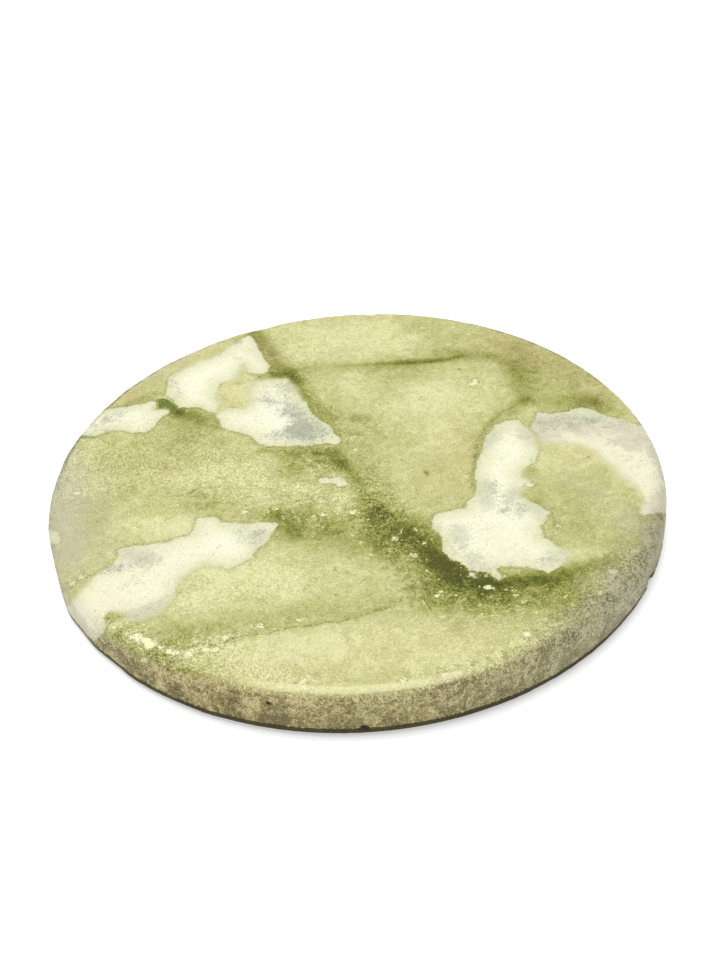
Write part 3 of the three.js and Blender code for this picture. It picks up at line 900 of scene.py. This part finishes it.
# the same places shaken a little, so that what is drawn from them has torn outlines
shake = jade.node_tree.nodes.new("ShaderNodeTexNoise")
wires.new(in_mm.outputs[0], shake.inputs["Vector"])
shake.inputs["Scale"].default_value = 1 / 0.3
shake.inputs["Detail"].default_value = 3
shaken = jade.node_tree.nodes.new("ShaderNodeVectorMath")
shaken.operation = "MULTIPLY_ADD"
wires.new(shake.outputs["Color"], shaken.inputs[0])
shaken.inputs[1].default_value = (1.1, 1.1, 1.1)
wires.new(in_mm.outputs[0], shaken.inputs[2])


def threads(size, distortion):
    """Curled bright threads about that many millimetres apart, about 0 in the middle."""
    made = jade.node_tree.nodes.new("ShaderNodeTexNoise")
    made.noise_type = "RIDGED_MULTIFRACTAL"
    wires.new(in_mm.outputs[0], made.inputs["Vector"])
    made.inputs["Scale"].default_value = 1 / size
    made.inputs["Detail"].default_value = 2
    made.inputs["Roughness"].default_value = 0.6
    made.inputs["Offset"].default_value = 0.9
    made.inputs["Gain"].default_value = 2
    made.inputs["Distortion"].default_value = distortion
    return sums("SUBTRACT", made.outputs["Fac"], 0.86)


def crumbs(size, small, large, wanted):
    """Round grains, one in each cell of that size, kept where their luck is below wanted."""
    made = jade.node_tree.nodes.new("ShaderNodeTexVoronoi")
    wires.new(shaken.outputs[0], made.inputs["Vector"])
    made.inputs["Scale"].default_value = 1 / size
    luck = jade.node_tree.nodes.new("ShaderNodeSeparateColor")
    wires.new(made.outputs["Color"], luck.inputs[0])
    grain_share = sums("SUBTRACT", 1.0, between(made.outputs["Distance"], small, large))
    return times(grain_share, sums("LESS_THAN", luck.outputs[0], wanted))


broad = cloud(5.5, 3, 0.5, 0.8)
curd = cloud(1.5, 6, 0.62, 1.5)
felt = cloud(0.5, 4, 0.65, 3.0)
grain = cloud(0.15, 3, 0.7)
thread = threads(0.42, 1.6)
gritty = reading("gritty")
ragged = cloud(0.9, 6, 0.6)
crushed = reading("crushed")

# the jade's own green, pale to deep, fresh or warm
deepness = plus(reading("deep"), broad, 0.35)
deepness = sums("MULTIPLY_ADD", curd, sums("MULTIPLY_ADD", crushed, 0.9, 0.62), deepness)
deepness = sums("MULTIPLY_ADD", felt, sums("MULTIPLY_ADD", crushed, 0.9, 0.75), deepness)
deepness = plus(deepness, times(grain, gritty), 0.8)
fresh = ramp(
    deepness,
    [
        (0.0, srgb(228, 226, 171)),
        (0.12, srgb(213, 211, 153)),
        (0.28, srgb(197, 196, 134)),
        (0.42, srgb(180, 180, 113)),
        (0.55, srgb(162, 164, 92)),
        (0.7, srgb(139, 142, 68)),
        (0.85, srgb(114, 119, 51)),
        (1.0, srgb(84, 90, 38)),
    ],
)
warm = ramp(
    deepness,
    [
        (0.0, srgb(231, 222, 171)),
        (0.12, srgb(216, 208, 150)),
        (0.28, srgb(203, 196, 137)),
        (0.42, srgb(189, 181, 124)),
        (0.55, srgb(171, 164, 103)),
        (0.7, srgb(148, 140, 82)),
        (0.85, srgb(124, 116, 64)),
        (1.0, srgb(97, 89, 50)),
    ],
)
body = blend(sums("MULTIPLY_ADD", broad, 1.4, reading("ochre"), clamp=True), fresh, warm)

# pale crumbs and dark specks in it
body = blend(
    times(crumbs(0.6, 0.2, 0.3, sums("MULTIPLY_ADD", crushed, 0.22, 0.025)), 0.85),
    body,
    srgb(236, 234, 168),
)
body = blend(
    times(crumbs(0.75, 0.14, 0.26, sums("MULTIPLY_ADD", crushed, 0.24, 0.03)), 0.55),
    body,
    srgb(116, 114, 48),
)

# dark seams, broken here and there
line_across = sums("ABSOLUTE", plus(reading("across_seam"), ragged, 1.1))
line_share = times(sums("SUBTRACT", 1.0, between(line_across, 0.02, 0.16)), reading("seam"))
line_share = times(line_share, between(felt, -0.14, 0.06))
body = blend(times(line_share, 0.7), body, srgb(128, 126, 66))

# spots of the deepest green
in_spot = between(plus(plus(reading("spots"), ragged, 0.8), felt, 0.8), -0.08, 0.14)
body = blend(in_spot, body, blend(between(felt, -0.1, 0.12), srgb(92, 104, 40), srgb(140, 148, 72)))

# the white: cream, a little rosy in places, glassy and grey in others
inside = plus(reading("white"), ragged, 0.8)
inside = plus(inside, felt, 0.6)
inside = plus(inside, grain, 0.4)
edge = sums("MULTIPLY_ADD", reading("soft"), 0.65, 0.06)
white_share = between(inside, sums("MULTIPLY", edge, -1.0), edge)
whiteness = plus(plus(plus(inside, curd, 2.6), felt, 2.2), grain, 1.2)
white = ramp(
    sums("MULTIPLY_ADD", whiteness, 0.44, 0.17, clamp=True),
    [
        (0.0, srgb(214, 215, 170)),
        (0.3, srgb(234, 233, 196)),
        (0.65, srgb(247, 246, 211)),
        (1.0, srgb(253, 253, 224)),
    ],
)
white = blend(times(reading("rosy"), 0.85), white, srgb(247, 240, 209))
milk = between(plus(plus(reading("milky"), curd, 2.2), thread, 0.3), 0.1, 0.9)
white = blend(times(milk, 0.9), white, srgb(219, 211, 185))
pane = between(plus(plus(plus(reading("panes"), ragged, 2.2), felt, 2.0), grain, 1.4), -0.4, 0.6)
white = blend(times(pane, 0.66), white, srgb(207, 208, 180))
glass = plus(plus(plus(reading("glassy"), curd, 2.4), felt, 2.4), grain, 2.0)
white = blend(times(between(glass, 0.1, 1.3), 0.72), white, srgb(156, 159, 140))
# painted shadow: beside a crisp edge the green is a little darker
shadow_beside = times(between(inside, -0.4, -0.05), sums("SUBTRACT", 1.0, white_share))
shadow_beside = times(shadow_beside, sums("MULTIPLY_ADD", reading("soft"), -0.8, 0.8, clamp=True))
body = blend(times(shadow_beside, 0.42), body, srgb(112, 113, 50))
body = blend(white_share, body, white)

# scraps of white with torn outlines, each in a thin painted shadow
torn = plus(plus(plus(reading("scraps"), ragged, 1.2), felt, 0.9), grain, 0.35)
# the painted shadow round each scrap
body = blend(times(between(torn, -0.22, -0.02), 0.45), body, srgb(108, 108, 48))
body = blend(between(torn, -0.03, 0.04), body, srgb(248, 243, 194))

# the rim's skin: hazed with fine scratches and a painted sheen, brown or grey below with painted shade,
# rubbed pale with a painted highlight along the shoulder, with painted shade along the far rim and at the
# foot
unwhite = sums("MULTIPLY_ADD", white_share, -0.7, 1.0)
# pale scratched haze with a painted sheen near the rim
haze_and_sheen_share = between(plus(plus(plus(reading("haze_and_sheen"), curd, 1.2), felt, 0.7), thread, 0.12), 0.0, 1.0)
haze_and_sheen_share = times(times(haze_and_sheen_share, between(reading("haze_and_sheen"), 0.0, 0.25)), unwhite)
body = blend(times(haze_and_sheen_share, 0.85), body, srgb(196, 191, 162))
mottle = plus(plus(plus(plus(times(broad, 1.6), curd, 3.0), felt, -1.6), grain, -2.2), thread, 0.2)
mottle = sums("MULTIPLY_ADD", reading("lower"), -0.34, sums("MULTIPLY_ADD", mottle, 0.8, 0.63))
# the skin's brown and grey, darkened with painted shade of the side
brown = ramp(
    mottle,
    [
        (0.1, (0.098, 0.073, 0.027, 1)),
        (0.35, (0.205, 0.158, 0.062, 1)),
        (0.6, (0.35, 0.285, 0.125, 1)),
        (0.9, (0.57, 0.49, 0.26, 1)),
    ],
)
grey = ramp(
    mottle,
    [
        (0.1, (0.155, 0.14, 0.078, 1)),
        (0.35, (0.222, 0.203, 0.117, 1)),
        (0.6, (0.298, 0.275, 0.166, 1)),
        (0.9, (0.42, 0.39, 0.265, 1)),
    ],
)
skin_and_shade_colour = blend(reading("greyer"), brown, grey)
# the skin over the shoulder carries painted shade too
skin_and_shade_cover = plus(reading("skin_and_shade"), reading("skin_and_shade_above"), 0.9)
skin_and_shade_share = plus(plus(skin_and_shade_cover, curd, 1.9), felt, 0.9)
skin_and_shade_share = times(between(skin_and_shade_share, 0.05, 1.05), between(skin_and_shade_cover, 0.0, 0.2))
skin_and_shade_share = times(skin_and_shade_share, unwhite)
body = blend(times(skin_and_shade_share, 0.86), body, skin_and_shade_colour)
# the near shoulder rubbed pale, with a painted highlight on it
wear_and_highlight_share = plus(plus(plus(reading("wear_and_highlight"), felt, 2.4), curd, 2.0), grain, 1.0)
wear_and_highlight_share = times(between(wear_and_highlight_share, 0.35, 0.9), reading("wear_and_highlight"))
body = blend(times(wear_and_highlight_share, 0.9), body, srgb(236, 230, 178))
# painted shade along the far rim's outline
far_edge_shade_share = plus(plus(plus(reading("far_edge_shade"), felt, 1.8), curd, 1.8), thread, 0.15)
far_edge_shade_share = times(times(between(far_edge_shade_share, 0.2, 1.1), between(reading("far_edge_shade"), 0.0, 0.2)), unwhite)
body = blend(times(far_edge_shade_share, 0.72), body, srgb(108, 104, 80))
# painted shade at the foot, where the lower edge meets the floor
foot_shade_share = between(plus(plus(reading("foot_shade"), felt, 1.2), grain, 0.8), 0.3, 0.75)
body = blend(times(foot_shade_share, 0.94), body, (0.05, 0.039, 0.015, 1))
# the fine tooth of the ground surface, which lightens and darkens all of it
tooth = plus(times(thread, 0.27), grain, -0.9)
tooth = times(plus(tooth, felt, -0.5), gritty)
tooth = plus(times(tooth, sums("MULTIPLY_ADD", white_share, -0.1, 1.0)), white_share, -0.018)
body = scaled(body, plus(1.0, tooth, 1.0))
# painted shade in the two deepest pits
body = blend(between(reading("pit_shade"), 0.0, 0.5), body, (0.05, 0.04, 0.02, 1))
wires.new(body, shader.inputs["Base Color"])

# tumbled to a satin polish, duller where the stone is crushed or worn
dullness = sums("MULTIPLY_ADD", grain, 0.3, 0.38)
dullness = plus(dullness, reading("skin_and_shade"), 0.16)
dullness = plus(dullness, reading("foot_shade"), 0.25)
dullness = plus(dullness, crushed, 0.06)
wires.new(dullness, shader.inputs["Roughness"])
shader.inputs["IOR"].default_value = 1.6
shader.inputs["Specular IOR Level"].default_value = 0.12

relief = plus(plus(curd, felt, 0.4), grain, 0.3)
relief = times(relief, sums("MULTIPLY_ADD", crushed, 1.2, 0.8))
bump = jade.node_tree.nodes.new("ShaderNodeBump")
bump.inputs["Strength"].default_value = 0.3
bump.inputs["Distance"].default_value = 0.08 * mm
wires.new(relief, bump.inputs["Height"])
wires.new(bump.outputs[0], shader.inputs["Normal"])
stone.data.materials.append(jade)

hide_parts("jade_stone")
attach(stone, "root")
